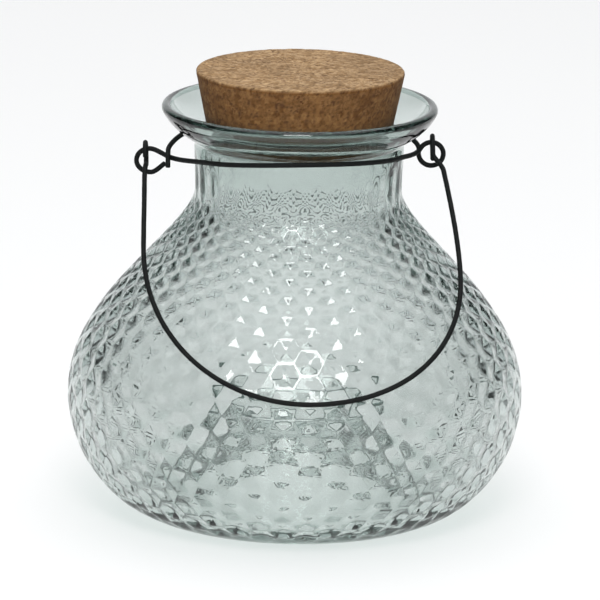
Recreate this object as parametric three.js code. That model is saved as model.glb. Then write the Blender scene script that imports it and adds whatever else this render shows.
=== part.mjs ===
// Hanging wasp trap: a squat one-piece glass jar with an entry funnel in its base, a tapered
// cork stopper, a wire collar bent round the neck and a wire bail that swings on the collar.
// Millimetres, +Z up, origin at the centre of the base ring, front of the trap towards -Y.
import * as THREE from 'three';

// ---------- driving dimensions ----------
const GLASS_SEGMENTS = 64;
const BELLY_R = 80; // widest outside radius of the jar
const BELLY_Z = 41.5;
const WALL = 3; // glass thickness at the belly
const FOOT_OUT_R = 50; // flat ring that the jar stands on
const FOOT_IN_R = 45.2;
const SHOULDER_R = 57; // outside radius where the belly turns into the shoulder
const SHOULDER_Z = 86;
const NECK_R = 36.5;
const NECK_BORE_R = 32.5;
const NECK_Z = 113; // lower end of the straight neck
const FLARE_Z = 131; // upper end of the straight neck
const BEAD_R = 2.4; // rounded edge of the rim
const RIM_R = 48; // widest radius of the rim
const BEAD_Z = 142.2;
const FLOOR_Z = 4.2; // inside floor of the bait trough
const FUNNEL_R = 24; // middle of the funnel's lip
const FUNNEL_LIP = 1.7; // half thickness of the lip
const FUNNEL_Z = 37;

const CORK_TOP_R = 36.6;
const CORK_TOP_Z = 156.5;
const CORK_BOTTOM_R = 31.9;
const CORK_BOTTOM_Z = 131.8;
const CORK_CHAMFER = 0.9;

const WIRE_R = 0.9;
const WIRE_SIDES = 10; // even number
const COLLAR_R = 38.2; // wire centre line round the neck
const COLLAR_Z = 131; // height of the wire at the front and the back of the neck
const COLLAR_SAG = 3.73; // how far the front wire sags towards the two eyes
const COLLAR_SLOPE = 0.032; // the left side sits a little lower than the right
const EYE_R = 4.3; // coiled eye on the right
const EYE_X = 45.9;
const EYE_Z = 127;
const EYE_ADVANCE = 2.6; // how far back the coil moves in its turn
const LOOP_X = -51.8; // open loop on the left
const LOOP_Z = 123.1;
const LOOP_W = 4.8;
const LOOP_H = 4.2;
const CROSS = [-45.5, -2.2, 125.1]; // where the hook passes over the front wire
const HOOK_R = 2.6;
const HOOK_TAIL_Z = 121.9;

const PIVOT_LEFT = [-53.4, 0, 125.45];
const PIVOT_RIGHT = [46.4, 0, 129.5];
const RING_R = 3.95; // end rings of the bail
const HANG_ANGLE = 48.9; // degrees in front of straight down
const BAIL_DROP = 106.2; // from the pivot line to the bottom of the bail
const BAIL_LEFT = 54;
const BAIL_RIGHT = 54.5;
const BAIL_BOTTOM_U = 4;

// ---------- helpers ----------
const group = new THREE.Group();

function v3(x, y, z) {
  return new THREE.Vector3(x, y, z);
}

function add(name, geometry, color, options) {
  const material = new THREE.MeshStandardMaterial({ color, ...options });
  material.name = name;
  const mesh = new THREE.Mesh(geometry, material);
  mesh.name = name;
  group.add(mesh);
}

// appends the points of a cubic curve to an outline, without its first point
function bend(outline, count, p1, p2, p3) {
  const last = outline[outline.length - 1];
  const curve = new THREE.CubicBezierCurve(
    last,
    new THREE.Vector2(...p1),
    new THREE.Vector2(...p2),
    new THREE.Vector2(...p3),
  );
  outline.push(...curve.getPoints(count).slice(1));
}

// appends the points of a circular arc, angles in degrees, with its first point
function round(outline, count, centre, radius, from, to) {
  for (let i = 0; i <= count; i += 1) {
    const a = THREE.MathUtils.degToRad(from + ((to - from) * i) / count);
    const x = centre[0] + radius * Math.cos(a);
    const y = centre[1] + radius * Math.sin(a);
    outline.push(new THREE.Vector2(x, y));
  }
}

// a closed outline in (radius, height) turned about the vertical axis
function turn(outline, segments) {
  const closed = [...outline, outline[0].clone()];
  const geometry = new THREE.LatheGeometry(closed, segments);
  geometry.rotateX(Math.PI / 2);
  return geometry;
}

// a cubic stretch of wire between two points with given directions and reaches
function blend(a, directionA, reachA, b, directionB, reachB) {
  const p1 = a.clone().addScaledVector(directionA.clone().normalize(), reachA);
  const p2 = b.clone().addScaledVector(directionB.clone().normalize(), -reachB);
  return new THREE.CubicBezierCurve3(a, p1, p2, b);
}

// a stretch of wire given by a formula of t from 0 to 1
class Formula extends THREE.Curve {
  constructor(formula) {
    super();
    this.formula = formula;
  }

  getPoint(t, target = new THREE.Vector3()) {
    return target.copy(this.formula(t));
  }

  startDirection() {
    return this.formula(0.002).sub(this.formula(0)).normalize();
  }

  endDirection() {
    return this.formula(1).sub(this.formula(0.998)).normalize();
  }
}

function wire(curves, steps) {
  const path = new THREE.CurvePath();
  curves.forEach((curve) => path.add(curve));
  path.arcLengthDivisions = 1200;
  const section = new THREE.Shape();
  section.absarc(0, 0, WIRE_R, 0, 2 * Math.PI);
  return new THREE.ExtrudeGeometry(section, {
    steps,
    curveSegments: WIRE_SIDES / 2,
    bevelEnabled: false,
    extrudePath: path,
  });
}

// ---------- glass jar ----------
function glassJar() {
  const o = [new THREE.Vector2(FOOT_OUT_R, 0)];
  // outside: bottom curve, upper belly, shoulder, neck, flared rim
  bend(o, 7, [66, 2], [BELLY_R, 20], [BELLY_R, BELLY_Z]);
  bend(o, 5, [BELLY_R, 58], [70, 72], [SHOULDER_R, SHOULDER_Z]);
  bend(o, 5, [50, 94], [38, 105], [NECK_R, NECK_Z]);
  o.push(new THREE.Vector2(NECK_R, FLARE_Z));
  bend(o, 4, [NECK_R, 135.6], [39.8, 139.4], [43.6, 140.2]);
  round(o, 8, [RIM_R - BEAD_R, BEAD_Z], BEAD_R, -125, 165);
  // inside: flare, neck bore, shoulder, belly, bait trough
  bend(o, 4, [40.5, 141.6], [NECK_BORE_R, 139], [NECK_BORE_R, FLARE_Z]);
  o.push(new THREE.Vector2(NECK_BORE_R, NECK_Z - 2));
  bend(o, 4, [34.2, 103], [46.4, 91.6], [54.2, 84]);
  bend(o, 5, [66.5, 70.5], [BELLY_R - WALL, 57.5], [BELLY_R - WALL, BELLY_Z]);
  bend(o, 5, [BELLY_R - WALL, 22.5], [64.5, 5.2], [53, FLOOR_Z]);
  bend(o, 2, [50.4, FLOOR_Z], [48.6, 4.8], [47.5, 6.6]);
  // entry funnel: upper side, lip, underside
  const lipOut = FUNNEL_R + FUNNEL_LIP;
  const lipIn = FUNNEL_R - FUNNEL_LIP;
  bend(o, 5, [42, 14], [lipOut, 26.5], [lipOut, FUNNEL_Z - 1]);
  round(o, 6, [FUNNEL_R, FUNNEL_Z], FUNNEL_LIP, 0, 180);
  bend(o, 5, [lipIn, 24], [40, 10], [44, 1.2]);
  o.push(new THREE.Vector2(FOOT_IN_R, 0));
  return turn(o, GLASS_SEGMENTS);
}

// ---------- cork stopper ----------
function corkStopper() {
  const c = CORK_CHAMFER;
  const o = [
    new THREE.Vector2(0, CORK_BOTTOM_Z),
    new THREE.Vector2(CORK_BOTTOM_R - c, CORK_BOTTOM_Z),
    new THREE.Vector2(CORK_BOTTOM_R, CORK_BOTTOM_Z + c),
    new THREE.Vector2(CORK_TOP_R, CORK_TOP_Z - c),
    new THREE.Vector2(CORK_TOP_R - c, CORK_TOP_Z),
    new THREE.Vector2(0, CORK_TOP_Z),
  ];
  const geometry = new THREE.LatheGeometry(o, 64);
  geometry.rotateX(Math.PI / 2);
  return geometry;
}

// ---------- wire collar with its two eyes ----------
function collarHeight(x) {
  return COLLAR_Z + COLLAR_SLOPE * x - COLLAR_SAG * (x / COLLAR_R) ** 2;
}

function neckWire() {
  const rad = THREE.MathUtils.degToRad;
  // open loop on the left, from its free end round to the crossing
  const free = v3(-46.7, -1, 122.3);
  const low = v3(LOOP_X + 0.2, 0, LOOP_Z - LOOP_H);
  const out = v3(LOOP_X - LOOP_W, 0, LOOP_Z);
  const top = v3(LOOP_X - 0.2, 0, LOOP_Z + LOOP_H);
  const cross = v3(...CROSS);
  const loop = [
    blend(free, v3(-0.8, 0.2, -0.6), 1.8, low, v3(-1, 0, 0), 1.7),
    blend(low, v3(-1, 0, 0), 2.7, out, v3(0, 0, 1), 2.3),
    blend(out, v3(0, 0, 1), 2.3, top, v3(1, 0, 0), 2.6),
    blend(top, v3(1, 0, 0), 2, cross, v3(0.9, -0.35, -0.3), 2.4),
  ];
  // round the front of the neck
  const front = new Formula((t) => {
    const a = rad(215 + 120 * t);
    const x = COLLAR_R * Math.cos(a);
    return v3(x, COLLAR_R * Math.sin(a), collarHeight(x));
  });
  // the coiled eye on the right, one turn that moves backwards
  const coil = new Formula((t) => {
    const a = rad(150 - 340 * t);
    const y = EYE_ADVANCE * t - 0.6;
    return v3(EYE_X + EYE_R * Math.cos(a), y, EYE_Z + EYE_R * Math.sin(a));
  });
  // round the back of the neck
  const rear = new Formula((t) => {
    const a = rad(32 + 122 * t);
    return v3(COLLAR_R * Math.cos(a), COLLAR_R * Math.sin(a), COLLAR_Z);
  });
  // hook bent over the front wire from behind and down in front of it
  const hook = new Formula((t) => {
    const a = rad(110 + 70 * t);
    return v3(CROSS[0], CROSS[1] + HOOK_R * Math.cos(a), CROSS[2] + HOOK_R * Math.sin(a));
  });
  const tail = new THREE.LineCurve3(
    hook.formula(1),
    v3(CROSS[0], CROSS[1] - HOOK_R, HOOK_TAIL_Z),
  );
  const arm = v3(-41.6, 5.2, 130.9);
  const armDirection = v3(-0.56, -0.8, -0.25);
  const curves = [
    ...loop,
    blend(cross, v3(0.9, -0.35, -0.3), 4.5, front.formula(0), front.startDirection(), 8),
    front,
    blend(front.formula(1), front.endDirection(), 7, coil.formula(0), coil.startDirection(), 3),
    coil,
    blend(coil.formula(1), coil.endDirection(), 3.4, rear.formula(0), rear.startDirection(), 8),
    rear,
    blend(rear.formula(1), rear.endDirection(), 3.5, arm, armDirection, 3.5),
    blend(arm, armDirection, 3, hook.formula(0), hook.startDirection(), 3),
    hook,
    tail,
  ];
  return wire(curves, 170);
}

// ---------- wire bail with a ring at each end ----------
function bailHandle() {
  const rad = THREE.MathUtils.degToRad;
  const left = v3(...PIVOT_LEFT);
  const right = v3(...PIVOT_RIGHT);
  const u = right.clone().sub(left).normalize();
  const hang = rad(HANG_ANGLE);
  const v = v3(0, -Math.sin(hang), -Math.cos(hang));
  v.addScaledVector(u, -v.dot(u)).normalize();
  const w = u.clone().cross(v);
  const middle = left.clone();
  middle.addScaledVector(u, v3(0, 0, (left.z + right.z) / 2).sub(left).dot(u));
  const leftU = left.clone().sub(middle).dot(u);
  const rightU = right.clone().sub(middle).dot(u);
  const place = (a, b, c) => middle.clone().addScaledVector(u, a).addScaledVector(v, b)
    .addScaledVector(w, c);
  const way = (a, b, c) => place(a, b, c).sub(middle).normalize();
  // an end ring in the plane across the pivot line; side is 1 or -1 for the way it is wound
  const ring = (at, side) => new Formula((t) => {
    const a = rad(300 * t - 322);
    return place(at, RING_R * Math.cos(a), side * RING_R * Math.sin(a));
  });
  const rightRing = ring(rightU, 1);
  const leftRing = ring(leftU, -1);
  const rightLeg = place(50, 10.3, 0);
  const rightWide = place(BAIL_RIGHT, 56, 0);
  const bottom = place(BAIL_BOTTOM_U, BAIL_DROP, 0);
  const leftWide = place(-BAIL_LEFT, 40, 0);
  const leftLeg = place(-BAIL_LEFT + 0.2, 11, 0);
  // the left ring is walked from its leg to its free end
  const leftRingBack = new Formula((t) => leftRing.formula(1 - t));
  const curves = [
    rightRing,
    blend(rightRing.formula(1), rightRing.endDirection(), 2, rightLeg, way(0.15, 1, 0), 3),
    blend(rightLeg, way(0.15, 1, 0), 14, rightWide, way(0, 1, 0), 15),
    blend(rightWide, way(0, 1, 0), 30, bottom, way(-1, 0, 0), 30.5),
    blend(bottom, way(-1, 0, 0), 31, leftWide, way(0, -1, 0), 39),
    blend(leftWide, way(0, -1, 0), 9, leftLeg, way(0, -1, 0), 9),
    blend(leftLeg, way(0, -1, 0), 3, leftRingBack.formula(0), leftRingBack.startDirection(), 2),
    leftRingBack,
  ];
  return wire(curves, 170);
}

add('glass_jar', glassJar(), 0xa9bdb6, {
  metalness: 0,
  roughness: 0.06,
  transparent: true,
  opacity: 0.35,
  side: THREE.DoubleSide,
});
add('cork_stopper', corkStopper(), 0xb98a58, { metalness: 0, roughness: 0.9 });
add('neck_wire', neckWire(), 0x161817, { metalness: 0.4, roughness: 0.5 });
add('bail_handle', bailHandle(), 0x161817, { metalness: 0.4, roughness: 0.5 });

export default group;
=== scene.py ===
import math
import bpy
import numpy as np
from mathutils import Matrix, Vector


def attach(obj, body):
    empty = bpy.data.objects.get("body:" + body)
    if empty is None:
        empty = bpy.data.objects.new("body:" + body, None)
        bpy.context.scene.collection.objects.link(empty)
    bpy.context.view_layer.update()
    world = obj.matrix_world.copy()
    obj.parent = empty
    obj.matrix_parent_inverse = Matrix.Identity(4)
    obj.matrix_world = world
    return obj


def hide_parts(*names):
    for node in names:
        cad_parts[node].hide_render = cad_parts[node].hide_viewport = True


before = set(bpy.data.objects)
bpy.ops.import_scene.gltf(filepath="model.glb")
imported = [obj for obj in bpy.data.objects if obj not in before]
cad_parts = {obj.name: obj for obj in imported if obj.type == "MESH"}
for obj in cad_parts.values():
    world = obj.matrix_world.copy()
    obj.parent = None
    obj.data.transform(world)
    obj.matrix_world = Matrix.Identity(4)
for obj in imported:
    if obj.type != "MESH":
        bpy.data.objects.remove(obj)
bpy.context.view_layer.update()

MM = 0.001

# ---------------------------------------------------------------- camera
TARGET = Vector((0.0012, 0.0, 0.0738))
DISTANCE = 1.8
ELEVATION = math.radians(14.4)
ROLL = math.radians(1.0)  # the jar leans a little to the right
LENS = 308.0
cam_data = bpy.data.cameras.new("camera")
cam = bpy.data.objects.new("camera", cam_data)
bpy.context.scene.collection.objects.link(cam)
cam_data.sensor_width = 36.0
cam_data.lens = LENS
cam_data.clip_start = 0.05
cam_data.clip_end = 30.0
back = Vector((0.0, -math.cos(ELEVATION), math.sin(ELEVATION)))
turn = (-back).to_track_quat("-Z", "Y").to_matrix().to_4x4()
stand = Matrix.Translation(TARGET + back * DISTANCE)
cam.matrix_world = stand @ turn @ Matrix.Rotation(ROLL, 4, "Z")
bpy.context.scene.camera = cam


# ---------------------------------------------------------------- mesh helpers
def make_mesh(name, verts, faces, smooth=True):
    me = bpy.data.meshes.new(name)
    me.from_pydata([tuple(v) for v in verts], [], faces)
    me.update()
    if smooth:
        me.polygons.foreach_set("use_smooth", [True] * len(me.polygons))
    ob = bpy.data.objects.new(name, me)
    bpy.context.scene.collection.objects.link(ob)
    return ob


def cubic(p0, p1, p2, p3, n):
    """A Bezier curve as n + 1 points."""
    t = np.linspace(0.0, 1.0, n + 1)[:, None]
    p0, p1, p2, p3 = (np.asarray(p, float) for p in (p0, p1, p2, p3))
    s = 1.0 - t
    return s**3 * p0 + 3 * s * s * t * p1 + 3 * s * t * t * p2 + t**3 * p3


def even(points, step):
    """The same line with points at an even spacing of about step."""
    seg = np.linalg.norm(np.diff(points, axis=0), axis=1)
    s = np.concatenate([[0.0], np.cumsum(seg)])
    n = max(2, int(round(s[-1] / step)))
    at = np.linspace(0.0, s[-1], n + 1)
    return np.stack([np.interp(at, s, points[:, k]) for k in range(points.shape[1])], axis=1)


def smoothstep(a, b, x):
    t = np.clip((x - a) / (b - a), 0.0, 1.0)
    return t * t * (3.0 - 2.0 * t)


def lattice(ix, iy, iz, seed):
    """A repeatable random number from 0 to 1 for each whole-number cell."""
    h = ix.astype(np.int64) * 374761393 + iy.astype(np.int64) * 668265263
    h = h + iz.astype(np.int64) * 2147483647 + seed * 144665
    h = (h ^ (h >> 13)) * 1274126177
    h = h ^ (h >> 16)
    return ((h & 0xFFFFFF) / float(0xFFFFFF)).astype(float)


def value_noise(p, scale, seed):
    """Smooth noise from -1 to 1 with lumps of about the given size."""
    q = p / scale
    i = np.floor(q).astype(np.int64)
    f = q - i
    f = f * f * (3.0 - 2.0 * f)
    total = np.zeros(len(p))
    for dx in (0, 1):
        for dy in (0, 1):
            for dz in (0, 1):
                w = (f[:, 0] if dx else 1 - f[:, 0]) * (f[:, 1] if dy else 1 - f[:, 1])
                w = w * (f[:, 2] if dz else 1 - f[:, 2])
                total += w * lattice(i[:, 0] + dx, i[:, 1] + dy, i[:, 2] + dz, seed)
    return total * 2.0 - 1.0


def granules(p, size, seed):
    """Distance to the nearest and second nearest grain centre, and the nearest grain's number."""
    q = p / size
    i = np.floor(q).astype(np.int64)
    best = np.full(len(p), 9.0)
    second = np.full(len(p), 9.0)
    number = np.zeros(len(p))
    for dx in (-1, 0, 1):
        for dy in (-1, 0, 1):
            for dz in (-1, 0, 1):
                cx, cy, cz = i[:, 0] + dx, i[:, 1] + dy, i[:, 2] + dz
                px = cx + 0.1 + 0.8 * lattice(cx, cy, cz, seed)
                py = cy + 0.1 + 0.8 * lattice(cx, cy, cz, seed + 1)
                pz = cz + 0.1 + 0.8 * lattice(cx, cy, cz, seed + 2)
                d = np.sqrt((q[:, 0] - px) ** 2 + (q[:, 1] - py) ** 2 + (q[:, 2] - pz) ** 2)
                tag = lattice(cx, cy, cz, seed + 3)
                nearer = d < best
                second = np.where(nearer, best, np.minimum(second, d))
                number = np.where(nearer, tag, number)
                best = np.minimum(best, d)
    return best, second, number


# ---------------------------------------------------------------- node helpers
def new_material(name):
    mat = bpy.data.materials.new(name)
    mat.use_nodes = True
    nt = mat.node_tree
    nt.nodes.clear()
    out = nt.nodes.new("ShaderNodeOutputMaterial")
    bsdf = nt.nodes.new("ShaderNodeBsdfPrincipled")
    nt.links.new(bsdf.outputs["BSDF"], out.inputs["Surface"])
    return mat, nt, bsdf, out


def noise(nt, coord, scale, detail=3.0, rough=0.55):
    n = nt.nodes.new("ShaderNodeTexNoise")
    n.inputs["Scale"].default_value = scale
    n.inputs["Detail"].default_value = detail
    n.inputs["Roughness"].default_value = rough
    nt.links.new(coord, n.inputs["Vector"])
    return n


def ramp(nt, value, stops):
    r = nt.nodes.new("ShaderNodeValToRGB")
    while len(r.color_ramp.elements) > 1:
        r.color_ramp.elements.remove(r.color_ramp.elements[-1])
    r.color_ramp.elements[0].position = stops[0][0]
    r.color_ramp.elements[0].color = stops[0][1]
    for pos, col in stops[1:]:
        e = r.color_ramp.elements.new(pos)
        e.color = col
    nt.links.new(value, r.inputs["Fac"])
    return r


def to_range(nt, value, lo, hi, a=0.0, b=1.0):
    """A node that takes a value from a to b and gives one from lo to hi."""
    m = nt.nodes.new("ShaderNodeMapRange")
    m.inputs["From Min"].default_value = a
    m.inputs["From Max"].default_value = b
    m.inputs["To Min"].default_value = lo
    m.inputs["To Max"].default_value = hi
    nt.links.new(value, m.inputs["Value"])
    return m


def mix(nt, fac, a, b, blend="MIX"):
    m = nt.nodes.new("ShaderNodeMix")
    m.data_type = "RGBA"
    m.blend_type = blend
    for socket, value in ((m.inputs[0], fac), (m.inputs[6], a), (m.inputs[7], b)):
        if isinstance(value, bpy.types.NodeSocket):
            nt.links.new(value, socket)
        else:
            socket.default_value = value
    return m.outputs[2]


# ---------------------------------------------------------------- glass jar
COLUMNS = 54
SIDES = COLUMNS * 9
UNDER_SIDES = COLUMNS * 6
INNER_SIDES = COLUMNS * 3
COLUMN_PHASE = math.radians(-90.0 + 3.9)
RELIEF = 0.00115
FLUTE = 0.0006
UNDER_RELIEF = 0.0003
CRINKLE = 0.0006
NECK_R = 36.5
BORE_R = 32.5
BELLY_R = 80
BELLY_Z = 41.5
FLARE_Z = 131
EDGE_R = 1.7  # the rounded edge of the rim
EDGE_AT = (46.3, 142.7)


def glass_outline():
    """Outside, rim, inside and underside of the jar as (radius, height) in millimetres."""
    outside = np.vstack([
        cubic((50, 0), (66, 2), (BELLY_R, 20), (BELLY_R, BELLY_Z), 200),
        cubic((BELLY_R, BELLY_Z), (BELLY_R, 58), (70, 72), (57, 86), 200)[1:],
        cubic((57, 86), (50, 94), (38, 105), (NECK_R, 113), 160)[1:],
        cubic((NECK_R, 113), (NECK_R, 119), (NECK_R, 125), (NECK_R, FLARE_Z), 60)[1:],
    ])
    a = np.radians(np.linspace(-27, 165, 60))
    bead = np.stack([EDGE_AT[0] + EDGE_R * np.cos(a), EDGE_AT[1] + EDGE_R * np.sin(a)], axis=1)
    # wider low down than the CAD's flare, as in the photo
    flare = cubic((NECK_R, FLARE_Z), (37.2, 133.2), (43.6, 133.9), bead[0], 60)
    inside = np.vstack([
        cubic(bead[-1], (41.8, 137.2), (32.6, 136.4), (BORE_R, FLARE_Z), 60)[1:],
        np.array([[BORE_R, 111.0]]),
        cubic((BORE_R, 111), (34.2, 103), (46.4, 91.6), (54.2, 84), 80)[1:],
        cubic((54.2, 84), (66.5, 70.5), (77, 57.5), (77, BELLY_Z), 80)[1:],
        cubic((77, BELLY_Z), (77, 22.5), (64.5, 5.2), (53, 4.2), 80)[1:],
        cubic((53, 4.2), (50.4, 4.2), (48.6, 4.8), (47.5, 6.6), 20)[1:],
        cubic((47.5, 6.6), (42, 14), (25.7, 26.5), (25.7, 36), 60)[1:],
    ])
    a = np.radians(np.linspace(0, 180, 24))
    lip = np.stack([24 + 1.7 * np.cos(a), 37 + 1.7 * np.sin(a)], axis=1)
    under = np.vstack([
        cubic((22.3, 36.2), (22.3, 24), (40, 10), (44, 1.2), 60),
        cubic((44, 1.2), (44.3, 0.4), (44.7, 0.0), (45.4, 0.0), 6)[1:],
    ])
    rim = np.vstack([even(flare, 1.5)[1:], even(bead, 0.6)[1:]])
    return outside, rim, np.vstack([inside, lip[1:]]), under


def rows_of(radius, height, start):
    """How many cells lie between the starting height and each point of the outline."""
    ds = np.hypot(np.diff(radius), np.diff(height))
    mid = 0.5 * (radius[1:] + radius[:-1])
    pitch = 2.0 / math.sqrt(3.0) * 2.0 * math.pi * mid / COLUMNS
    rows = np.concatenate([[0.0], np.cumsum(ds / pitch)])
    up = height[-1] > height[0]
    order = slice(None) if up else slice(None, None, -1)
    return rows - np.interp(start, height[order], rows[order]) + 0.12


def honeycomb(c, r):
    """Depth of the relief at column c and row r: 0 on the ridges, 1 at the middle of a cell."""
    best = np.full(c.shape, 9.0)
    first = np.floor(c + 1e-6)
    for k in (0, 1):
        centre = first + k
        shift = np.where(np.mod(centre, 2) > 0.5, 0.5, 0.0)
        x = (c - centre) * math.sqrt(3.0) / 2.0
        y = (r - shift) - np.round(r - shift)
        m = np.maximum(np.abs(y), np.abs(x) * math.sqrt(3.0) / 2.0 + np.abs(y) * 0.5) * 2.0
        best = np.minimum(best, m)
    m = np.clip(best, 0.0, 1.0)
    return 1.0 - m


def stepped(line, start, per, coarse=None):
    """The outline at a few points for each row of cells, and the row that each point is on."""
    rows = rows_of(line[:, 0], line[:, 1], start)
    inner = np.arange(math.ceil(rows[0] * per + 0.3), math.floor(rows[-1] * per - 0.3) + 1)
    if coarse is not None:
        plain = inner / per > np.interp(coarse, line[:, 1], rows)
        inner = inner[~plain | (inner % 3 == 0)]
    at = np.concatenate([rows[:1], inner / per, rows[-1:]])
    return np.stack([np.interp(at, rows, line[:, k]) for k in (0, 1)], axis=1), at


def pressed(line, sink):
    """Rings of points of a surface whose cells sink into it."""
    d = np.gradient(line, axis=0)
    d = d / np.hypot(d[:, 0], d[:, 1])[:, None]
    R = line[:, :1] * MM - sink * d[:, 1:]
    Z = line[:, 1:] * MM + sink * d[:, :1]
    return R, Z


def relief_faces(c, at, depth, first):
    """Faces of a relief, each four-cornered patch split along its ridge or valley."""
    sides = c.shape[1]
    rows = np.repeat(0.5 * (at[:-1] + at[1:])[:, None], sides, axis=1)
    middle = honeycomb(c[:-1] + 0.5 * COLUMNS / sides, rows)
    across = 0.5 * (depth[:-1] + np.roll(depth[1:], -1, axis=1))
    other = 0.5 * (np.roll(depth[:-1], -1, axis=1) + depth[1:])
    rising = np.abs(across - middle) <= np.abs(other - middle)
    faces = []
    for i in range(len(at) - 1):
        a0 = first + i * sides
        for j in range(sides):
            k = (j + 1) % sides
            p, q, s, t = a0 + j, a0 + k, a0 + sides + k, a0 + sides + j
            faces.extend([(p, q, s), (p, s, t)] if rising[i, j] else [(p, q, t), (q, s, t)])
    return faces


def zipped(low, low_sides, high, high_sides):
    """Triangles between two rings with different numbers of points that start at one angle."""
    faces = []
    i = j = 0
    while i < low_sides or j < high_sides:
        a, b = low + i % low_sides, high + j % high_sides
        low_is_next = (i + 1) * high_sides <= (j + 1) * low_sides
        if j >= high_sides or (i < low_sides and low_is_next):
            faces.append((a, low + (i + 1) % low_sides, b))
            i += 1
        else:
            faces.append((a, high + (j + 1) % high_sides, b))
            j += 1
    return faces


def ring_faces(rings, sides, first):
    """Four-cornered faces between rings that all have the same number of points."""
    faces = []
    for i in range(rings - 1):
        a0 = first + i * sides
        for j in range(sides):
            k = (j + 1) % sides
            faces.append((a0 + j, a0 + k, a0 + sides + k, a0 + sides + j))
    return faces


def glass_piece():
    outside, rim, inside, under = glass_outline()
    th = (COLUMN_PHASE + np.arange(SIDES) * 2.0 * math.pi / SIDES)[None, :]
    th_in = (COLUMN_PHASE + np.arange(INNER_SIDES) * 2.0 * math.pi / INNER_SIDES)[None, :]
    th_low = (COLUMN_PHASE + np.arange(UNDER_SIDES) * 2.0 * math.pi / UNDER_SIDES)[None, :]
    # outside: honeycomb on the belly, short flutes on the neck
    out, at = stepped(outside, 71.0, 6, 119.0)
    c, r = np.meshgrid(np.arange(SIDES) * COLUMNS / SIDES, at)
    depth = honeycomb(c, r)
    z = out[:, 1:]
    fade = smoothstep(2.2, 7.0, z) * (1.0 - smoothstep(104.5, 115.0, z))
    # one flute for every two columns
    flute = np.cos(c * math.pi / 2.0) ** 2 * smoothstep(112.0, 117.0, z)
    flute = flute * (1.0 - smoothstep(120.0, 127.0, z))
    # the hand-blown jar is not quite even
    wave = 0.00018 * np.sin(2 * th + 0.05 * z) + 0.00012 * np.sin(3 * th - 0.07 * z + 1.0) - 0.0003
    wave = wave * smoothstep(2.0, 12.0, z) * (1.0 - smoothstep(118.0, 128.0, z))
    R, Z = pressed(out, RELIEF * depth * fade + FLUTE * flute - wave)
    Z[0] = 0.0
    faces = relief_faces(c, at, depth, 0)
    R = np.vstack([R, np.repeat(rim[:, :1] * MM, SIDES, axis=1)])
    Z = np.vstack([Z, np.repeat(rim[:, 1:] * MM, SIDES, axis=1)])
    top = (R.shape[0] - 1) * SIDES
    faces += ring_faces(len(rim) + 1, SIDES, (len(at) - 1) * SIDES)
    verts = [np.stack([R * np.cos(th), R * np.sin(th), Z], axis=2).reshape(-1, 3)]
    # inside: smooth down to the funnel
    inn = even(inside, 2.2)
    base = len(verts[0])
    # the upper side of the funnel is faintly crinkled
    round_in = np.stack([inn[:, :1] * np.cos(th_in), inn[:, :1] * np.sin(th_in),
                         np.repeat(inn[:, 1:], INNER_SIDES, axis=1)], axis=2)
    crinkle = value_noise(round_in.reshape(-1, 3), 7.0, 21).reshape(len(inn), INNER_SIDES)
    on_funnel = 1.0 - smoothstep(43.0, 47.0, inn[:, :1])
    on_funnel = on_funnel * (1.0 - smoothstep(30.0, 35.0, inn[:, 1:]))
    Ri, Zi = pressed(inn, CRINKLE * crinkle * on_funnel)
    verts.append(np.stack([Ri * np.cos(th_in), Ri * np.sin(th_in), Zi], axis=2).reshape(-1, 3))
    faces += ring_faces(len(inn), INNER_SIDES, base)
    faces += zipped(top, SIDES, base, INNER_SIDES)
    # underside of the pushed-up entry funnel: the same honeycomb, drawn small
    low, at = stepped(under, 18.0, 4)
    c, r = np.meshgrid(np.arange(UNDER_SIDES) * COLUMNS / UNDER_SIDES, at)
    depth = honeycomb(c, r)
    z = low[:, 1:]
    fade = smoothstep(3.0, 8.0, z) * (1.0 - smoothstep(30.0, 35.0, z))
    R, Z = pressed(low, UNDER_RELIEF * depth * fade)
    Z[-1] = 0.0
    lip = base + (len(inn) - 1) * INNER_SIDES
    start = base + len(inn) * INNER_SIDES
    verts.append(np.stack([R * np.cos(th_low), R * np.sin(th_low), Z], axis=2).reshape(-1, 3))
    faces += relief_faces(c, at, depth, start)
    faces += zipped(lip, INNER_SIDES, start, UNDER_SIDES)
    faces += zipped(start + (len(at) - 1) * UNDER_SIDES, UNDER_SIDES, 0, SIDES)
    ob = make_mesh("glass_jar_blown", np.vstack(verts), faces)
    skin = ob.data.attributes.new("skin", "FLOAT", "POINT")
    outer = np.zeros(len(ob.data.vertices), np.float32)
    # the gathered glass of the neck and the flare is darker than the blown belly
    up = verts[0][:, 2] / MM
    outer[:len(up)] = 0.58 + 0.38 * smoothstep(110, 123, up)
    skin.data.foreach_set("value", outer)
    return ob


glass = glass_piece()
mat, nt, bsdf, out = new_material("recycled_glass")
at_skin = nt.nodes.new("ShaderNodeAttribute")
at_skin.attribute_name = "skin"
# the smoky tint of recycled glass lies in the outer skin
skin = ramp(nt, at_skin.outputs["Fac"], [(0.0, (1.0, 1.0, 1.0, 1)), (1.0, (0.44, 0.522, 0.494, 1))])
nt.links.new(skin.outputs["Color"], bsdf.inputs["Base Color"])
bsdf.inputs["Roughness"].default_value = 0.015
bsdf.inputs["IOR"].default_value = 1.5
bsdf.inputs["Transmission Weight"].default_value = 1.0
coord = nt.nodes.new("ShaderNodeTexCoord").outputs["Object"]
ripple = noise(nt, coord, 55.0, 2.0)
bump = nt.nodes.new("ShaderNodeBump")
bump.inputs["Strength"].default_value = 0.25
bump.inputs["Distance"].default_value = 0.0006
nt.links.new(ripple.outputs["Fac"], bump.inputs["Height"])
nt.links.new(bump.outputs["Normal"], bsdf.inputs["Normal"])
absorb = nt.nodes.new("ShaderNodeVolumeAbsorption")
absorb.inputs["Color"].default_value = (0.49, 0.59, 0.562, 1.0)
absorb.inputs["Density"].default_value = 48.0
nt.links.new(absorb.outputs["Volume"], out.inputs["Volume"])
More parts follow.
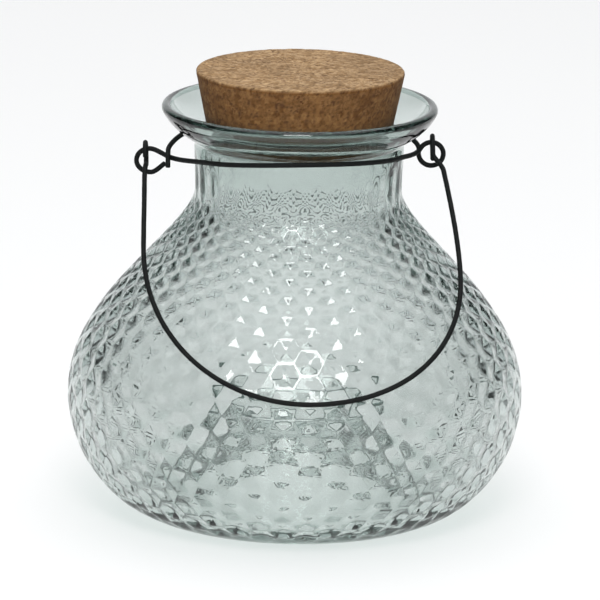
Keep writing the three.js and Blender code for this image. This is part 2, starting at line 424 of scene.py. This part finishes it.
# lamps and the light that bounces off the floor pass through, so the shadow stays pale
clear = nt.nodes.new("ShaderNodeBsdfTransparent")
clear.inputs["Color"].default_value = (0.985, 0.992, 0.989, 1.0)
path = nt.nodes.new("ShaderNodeLightPath")
surface = bsdf.outputs["BSDF"]
for kind in ("Is Shadow Ray", "Is Diffuse Ray"):
    either = nt.nodes.new("ShaderNodeMixShader")
    nt.links.new(path.outputs[kind], either.inputs[0])
    nt.links.new(surface, either.inputs[1])
    nt.links.new(clear.outputs["BSDF"], either.inputs[2])
    surface = either.outputs["Shader"]
nt.links.new(surface, out.inputs["Surface"])
glass.data.materials.append(mat)
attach(glass, "jar")
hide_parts("glass_jar")


# ---------------------------------------------------------------- cork stopper
def cork_piece():
    top_r, top_z, low_r, low_z, c = 36.4, 156.4, 31.7, 131.9, 0.9
    line = np.array([
        [0.02, low_z], [low_r - c, low_z], [low_r - 0.25 * c, low_z + 0.25 * c], [low_r, low_z + c],
        [top_r - 0.12, top_z - c], [top_r - 0.3 * c - 0.1, top_z - 0.3 * c], [top_r - c, top_z],
        [0.02, top_z],
    ])
    line = even(line, 0.62)
    n = 300
    th = np.arange(n) * 2.0 * math.pi / n
    R, Z = line[:, :1], line[:, 1:]
    P = np.stack([R * np.cos(th), R * np.sin(th), np.repeat(Z, n, axis=1)], axis=2).reshape(-1, 3)
    d = np.gradient(line, axis=0)
    d = d / np.linalg.norm(d, axis=1)[:, None]
    nr, nz = d[:, 1:], -d[:, :1]
    N = np.stack([nr * np.cos(th), nr * np.sin(th), np.repeat(nz, n, axis=1)], axis=2)
    N = N.reshape(-1, 3)
    stirred = P + 0.4 * np.stack([value_noise(P, 1.2, s) for s in (3, 4, 5)], axis=1)
    first, second, number = granules(stirred, 1.7, 11)
    seam = 1.0 - smoothstep(0.0, 0.22, second - first)
    f2, s2, number2 = granules(P, 0.85, 31)
    seam2 = 1.0 - smoothstep(0.0, 0.2, s2 - f2)
    hole = (number2 > 0.93) * smoothstep(0.0, 0.45, s2 - f2)
    rough = value_noise(P, 0.9, 7)
    sink = 0.05 * seam + 0.02 * seam2 + 0.35 * hole + 0.03 * (1 - rough)
    sink = sink + 0.05 * smoothstep(0.72, 1.0, number)
    V = (P - N * sink[:, None]) * MM
    faces = []
    rows = len(line)
    for i in range(rows - 1):
        for j in range(n):
            k = (j + 1) % n
            faces.append((i * n + j, i * n + k, (i + 1) * n + k, (i + 1) * n + j))
    faces.append(tuple(range(n - 1, -1, -1)))
    faces.append(tuple(range((rows - 1) * n, rows * n)))
    ob = make_mesh("cork_stopper_grained", V, faces)
    crevice = ob.data.attributes.new("crevice", "FLOAT", "POINT")
    dark = np.clip(0.24 * seam + 0.12 * seam2 + 0.9 * hole + 0.25 * (number2 > 0.86), 0, 1)
    crevice.data.foreach_set("value", dark.astype(np.float32))
    grain = ob.data.attributes.new("grain", "FLOAT", "POINT")
    grain.data.foreach_set("value", number.astype(np.float32))
    # how far each point faces sideways; below it darkens the side, partly as painted shade
    side = ob.data.attributes.new("side", "FLOAT", "POINT")
    side.data.foreach_set("value", np.clip(1.2 - 1.6 * np.abs(N[:, 2]), 0, 1).astype(np.float32))
    return ob


cork = cork_piece()
mat, nt, bsdf, out = new_material("agglomerated_cork")
coord = nt.nodes.new("ShaderNodeTexCoord").outputs["Object"]
at_grain = nt.nodes.new("ShaderNodeAttribute")
at_grain.attribute_name = "grain"
at_crevice = nt.nodes.new("ShaderNodeAttribute")
at_crevice.attribute_name = "crevice"
at_side = nt.nodes.new("ShaderNodeAttribute")
at_side.attribute_name = "side"
tone = ramp(nt, at_grain.outputs["Fac"], [
    (0.0, (0.28, 0.165, 0.07, 1)),
    (0.30, (0.40, 0.255, 0.127, 1)),
    (0.62, (0.465, 0.307, 0.16, 1)),
    (0.90, (0.58, 0.40, 0.225, 1)),
    (1.0, (0.24, 0.13, 0.06, 1)),
])
fleck = noise(nt, coord, 900.0, 4.0, 0.7)
fleck_ramp = ramp(nt, fleck.outputs["Fac"], [
    (0.30, (0.45, 0.42, 0.40, 1)), (0.5, (0.95, 0.95, 0.95, 1)), (0.72, (1.15, 1.12, 1.08, 1)),
])
colour = mix(nt, 1.0, tone.outputs["Color"], fleck_ramp.outputs["Color"], "MULTIPLY")
broad = noise(nt, coord, 60.0, 2.0)
broad_ramp = ramp(nt, broad.outputs["Fac"], [
    (0.35, (0.82, 0.80, 0.78, 1)), (0.65, (1.05, 1.03, 1.0, 1)),
])
colour = mix(nt, 1.0, colour, broad_ramp.outputs["Color"], "MULTIPLY")
# the side is darker and warmer than the top: partly the cork's own tone, partly painted shade for
# light that falls from above
side_tone_and_shade = ramp(nt, at_side.outputs["Fac"], [(0.0, (1.0, 1.0, 1.0, 1)), (1.0, (0.385, 0.255, 0.115, 1))])
colour = mix(nt, 1.0, colour, side_tone_and_shade.outputs["Color"], "MULTIPLY")
# the lower part of the cork, down in the glass neck, turns almost black: painted shade where the
# neck keeps the light out
height = nt.nodes.new("ShaderNodeSeparateXYZ")
nt.links.new(coord, height.inputs["Vector"])
neck_shade = to_range(nt, height.outputs["Z"], 0.3, 1.0, 0.138, 0.144)
neck_shade.interpolation_type = "SMOOTHSTEP"
colour = mix(nt, neck_shade.outputs["Result"], (0.012, 0.009, 0.006, 1), colour)
colour = mix(nt, at_crevice.outputs["Fac"], colour, (0.075, 0.034, 0.014, 1))
nt.links.new(colour, bsdf.inputs["Base Color"])
bsdf.inputs["Roughness"].default_value = 0.88
bsdf.inputs["Specular IOR Level"].default_value = 0.25
fine = noise(nt, coord, 1600.0, 3.0, 0.6)
bump = nt.nodes.new("ShaderNodeBump")
bump.inputs["Strength"].default_value = 0.3
bump.inputs["Distance"].default_value = 0.0003
nt.links.new(fine.outputs["Fac"], bump.inputs["Height"])
nt.links.new(bump.outputs["Normal"], bsdf.inputs["Normal"])
cork.data.materials.append(mat)
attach(cork, "cork")
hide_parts("cork_stopper")


# ---------------------------------------------------------------- wires
def unit(v):
    v = np.asarray(v, float)
    return v / np.linalg.norm(v)


def blend(a, da, ra, b, db, rb):
    a, b = np.asarray(a, float), np.asarray(b, float)
    return cubic(a, a + unit(da) * ra, b - unit(db) * rb, b, 120)


def formula(f, n=240):
    return np.array([f(t) for t in np.linspace(0.0, 1.0, n + 1)])


def heads(points):
    return points[1] - points[0]


def tails(points):
    return points[-1] - points[-2]


def joined(parts):
    line = [parts[0]]
    for p in parts[1:]:
        line.append(p[1:])
    return np.vstack(line)


def tube(name, line, radius, sides=16, step=0.45, seed=1):
    p = even(line, step)
    n = len(p)
    t = np.gradient(p, axis=0)
    t = t / np.linalg.norm(t, axis=1)[:, None]
    normal = unit(np.cross(t[0], (0.31, 0.87, 0.38)))
    side = np.zeros((n, 3))
    for i in range(n):
        normal = unit(normal - t[i] * np.dot(normal, t[i]))
        side[i] = normal
    other = np.cross(t, side)
    a = np.arange(sides) * 2.0 * math.pi / sides
    ringed = side[:, None, :] * np.cos(a)[None, :, None]
    ringed = ringed + other[:, None, :] * np.sin(a)[None, :, None]
    centre = p[:, None, :]
    flat = (centre + ringed * radius).reshape(-1, 3)
    lumps = value_noise(flat, 1.7, seed) * 0.022 + value_noise(flat, 0.6, seed + 1) * 0.010
    r = (radius - 0.035 + lumps).reshape(n, sides, 1)
    body = centre + ringed * r
    rings = [body[i] for i in range(n)]
    # cut ends with a small worn edge
    for inset, push in ((0.25, 0.16), (0.62, 0.24)):
        rings.insert(0, p[0] + ringed[0] * radius * (1 - inset) - t[0] * push)
        rings.append(p[-1] + ringed[-1] * radius * (1 - inset) + t[-1] * push)
    V = np.vstack(rings) * MM
    faces = []
    for i in range(len(rings) - 1):
        for j in range(sides):
            k = (j + 1) % sides
            faces.append((i * sides + j, i * sides + k, (i + 1) * sides + k, (i + 1) * sides + j))
    faces.append(tuple(range(sides - 1, -1, -1)))
    faces.append(tuple(range((len(rings) - 1) * sides, len(rings) * sides)))
    return make_mesh(name, V, faces)


WIRE_R = 0.9
COLLAR_R = 38.2
CROSS = (-45.5, -2.2, 125.1)
HOOK_R = 2.6


def ring_height(x):
    return 131.0 + 0.032 * x - 3.73 * (x / COLLAR_R) ** 2


def collar_line():
    lx, lz = -51.8, 123.1
    free = (-46.7, -1.0, 122.3)
    low = (lx + 0.2, 0, lz - 4.2)
    out_ = (lx - 4.8, 0, lz)
    top = (lx - 0.2, 0, lz + 4.2)
    away = (0.9, -0.35, -0.3)

    def front_at(t):
        a = math.radians(215 + 120 * t)
        x = COLLAR_R * math.cos(a)
        return (x, COLLAR_R * math.sin(a), ring_height(x))

    def coil_at(t):
        a = math.radians(150 - 340 * t)
        return (45.9 + 4.3 * math.cos(a), 2.6 * t - 0.6, 127 + 4.3 * math.sin(a))

    def rear_at(t):
        a = math.radians(32 + 122 * t)
        return (COLLAR_R * math.cos(a), COLLAR_R * math.sin(a), 131.0)

    def hook_at(t):
        a = math.radians(110 + 70 * t)
        return (CROSS[0], CROSS[1] + HOOK_R * math.cos(a), CROSS[2] + HOOK_R * math.sin(a))

    front, coil, rear, hook = (formula(f) for f in (front_at, coil_at, rear_at, hook_at))
    arm, arm_way = (-41.6, 5.2, 130.9), (-0.56, -0.8, -0.25)
    tail = np.array([hook[-1], (CROSS[0], CROSS[1] - HOOK_R, 121.9)])
    return joined([
        blend(free, (-0.8, 0.2, -0.6), 1.8, low, (-1, 0, 0), 1.7),
        blend(low, (-1, 0, 0), 2.7, out_, (0, 0, 1), 2.3),
        blend(out_, (0, 0, 1), 2.3, top, (1, 0, 0), 2.6),
        blend(top, (1, 0, 0), 2, CROSS, away, 2.4),
        blend(CROSS, away, 4.5, front[0], heads(front), 8),
        front,
        blend(front[-1], tails(front), 7, coil[0], heads(coil), 3),
        coil,
        blend(coil[-1], tails(coil), 3.4, rear[0], heads(rear), 8),
        rear,
        blend(rear[-1], tails(rear), 3.5, arm, arm_way, 3.5),
        blend(arm, arm_way, 3, hook[0], heads(hook), 3),
        hook,
        tail,
    ])


def bail_line():
    left, right = np.array((-53.4, 0, 125.45)), np.array((46.4, 0, 129.5))
    u = unit(right - left)
    hang = math.radians(48.9)
    v = np.array((0, -math.sin(hang), -math.cos(hang)))
    v = unit(v - u * np.dot(v, u))
    w = np.cross(u, v)
    middle = left + u * np.dot(np.array((0, 0, (left[2] + right[2]) / 2)) - left, u)
    left_u, right_u = np.dot(left - middle, u), np.dot(right - middle, u)

    def place(a, b, c):
        return middle + u * a + v * b + w * c

    def way(a, b, c):
        return u * a + v * b + w * c

    def ring(at, side):
        def f(t):
            a = math.radians(300 * t - 322)
            return place(at, 3.95 * math.cos(a), side * 3.95 * math.sin(a))
        return formula(f)

    r_ring = ring(right_u, 1)
    l_ring = ring(left_u, -1)[::-1]
    r_leg, r_wide = place(50, 10.3, 0), place(54.5, 56, 0)
    bottom = place(4, 106.2, 0)
    l_wide, l_leg = place(-54, 40, 0), place(-53.8, 11, 0)
    down, up = way(0, 1, 0), way(0, -1, 0)
    return joined([
        r_ring,
        blend(r_ring[-1], tails(r_ring), 2, r_leg, way(0.15, 1, 0), 3),
        blend(r_leg, way(0.15, 1, 0), 14, r_wide, down, 15),
        blend(r_wide, down, 30, bottom, way(-1, 0, 0), 30.5),
        blend(bottom, way(-1, 0, 0), 31, l_wide, up, 39),
        blend(l_wide, up, 9, l_leg, up, 9),
        blend(l_leg, up, 3, l_ring[0], heads(l_ring), 2),
        l_ring,
    ])


mat, nt, bsdf, out = new_material("black_coated_wire")
coord = nt.nodes.new("ShaderNodeTexCoord").outputs["Object"]
patch = noise(nt, coord, 260.0, 4.0)
wear = ramp(nt, patch.outputs["Fac"], [
    (0.0, (0.004, 0.005, 0.005, 1)),
    (0.58, (0.006, 0.007, 0.007, 1)),
    (0.85, (0.02, 0.021, 0.02, 1)),
])
nt.links.new(wear.outputs["Color"], bsdf.inputs["Base Color"])
rough = to_range(nt, patch.outputs["Fac"], 0.55, 0.75, 0.3, 0.7)
nt.links.new(rough.outputs["Result"], bsdf.inputs["Roughness"])
bsdf.inputs["Specular IOR Level"].default_value = 0.15
wire_bump = noise(nt, coord, 1500.0, 3.0)
bump = nt.nodes.new("ShaderNodeBump")
bump.inputs["Strength"].default_value = 0.35
bump.inputs["Distance"].default_value = 0.0002
nt.links.new(wire_bump.outputs["Fac"], bump.inputs["Height"])
nt.links.new(bump.outputs["Normal"], bsdf.inputs["Normal"])

collar = tube("neck_wire_bent", collar_line(), WIRE_R, seed=41)
collar.data.materials.append(mat)
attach(collar, "collar")
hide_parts("neck_wire")

bail = tube("bail_handle_bent", bail_line(), WIRE_R, seed=57)
bail.data.materials.append(mat)
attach(bail, "bail")
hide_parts("bail_handle")

# ---------------------------------------------------------------- floor, world and lights
FLOOR_HALF = 6
FLOOR_Z = -0.0002  # just clear of the foot
around = ((-1, -1), (1, -1), (1, 1), (-1, 1))
corners = [(x * FLOOR_HALF, y * FLOOR_HALF, FLOOR_Z) for x, y in around]
floor = make_mesh("floor", corners, [(0, 1, 2, 3)], smooth=False)
mat, nt, bsdf, out = new_material("pale_floor")
bsdf.inputs["Base Color"].default_value = (0.93, 0.93, 0.93, 1.0)
bsdf.inputs["Roughness"].default_value = 0.9
bsdf.inputs["Specular IOR Level"].default_value = 0.1
floor.data.materials.append(mat)

world = bpy.data.worlds.new("studio")
bpy.context.scene.world = world
world.use_nodes = True
wn = world.node_tree
bg = wn.nodes["Background"]
bg.inputs["Color"].default_value = (0.97, 0.985, 1.0, 1.0)
# white in front and behind, dark far to the left and right, dim straight above
way_to = wn.nodes.new("ShaderNodeTexCoord").outputs["Generated"]
split = wn.nodes.new("ShaderNodeSeparateXYZ")
wn.links.new(way_to, split.inputs["Vector"])
sideways = wn.nodes.new("ShaderNodeMath")
sideways.operation = "ABSOLUTE"
wn.links.new(split.outputs["X"], sideways.inputs[0])
across = to_range(wn, sideways.outputs["Value"], 1.0, 0.03, 0.38, 0.74)
above = to_range(wn, split.outputs["Z"], 0.95, 0.55, 0.40, 0.75)
for node in (across, above):
    node.interpolation_type = "SMOOTHSTEP"
both = wn.nodes.new("ShaderNodeMath")
both.operation = "MULTIPLY"
wn.links.new(across.outputs["Result"], both.inputs[0])
wn.links.new(above.outputs["Result"], both.inputs[1])
wn.links.new(both.outputs["Value"], bg.inputs["Strength"])


def area(name, where, aim, width, height, power):
    data = bpy.data.lights.new(name, "AREA")
    data.shape = "RECTANGLE"
    data.size = width
    data.size_y = height
    data.energy = power
    ob = bpy.data.objects.new(name, data)
    bpy.context.scene.collection.objects.link(ob)
    ob.location = where
    ob.rotation_euler = (Vector(aim) - Vector(where)).to_track_quat("-Z", "Y").to_euler()


area("top_softbox", (0.0, 0.6, 2.3), (0, 0.6, 0.0), 3.4, 3.4, 43)
area("key_softbox", (-0.02, -1.16, 1.22), (0, 0, 0.08), 0.55, 0.55, 11)

sc = bpy.context.scene
sc.view_settings.view_transform = "Standard"
sc.cycles.max_bounces = 28
sc.cycles.transmission_bounces = 28
sc.cycles.glossy_bounces = 8
sc.cycles.transparent_max_bounces = 32
sc.cycles.caustics_refractive = True
sc.cycles.caustics_reflective = True
sc.cycles.sample_clamp_indirect = 6.0
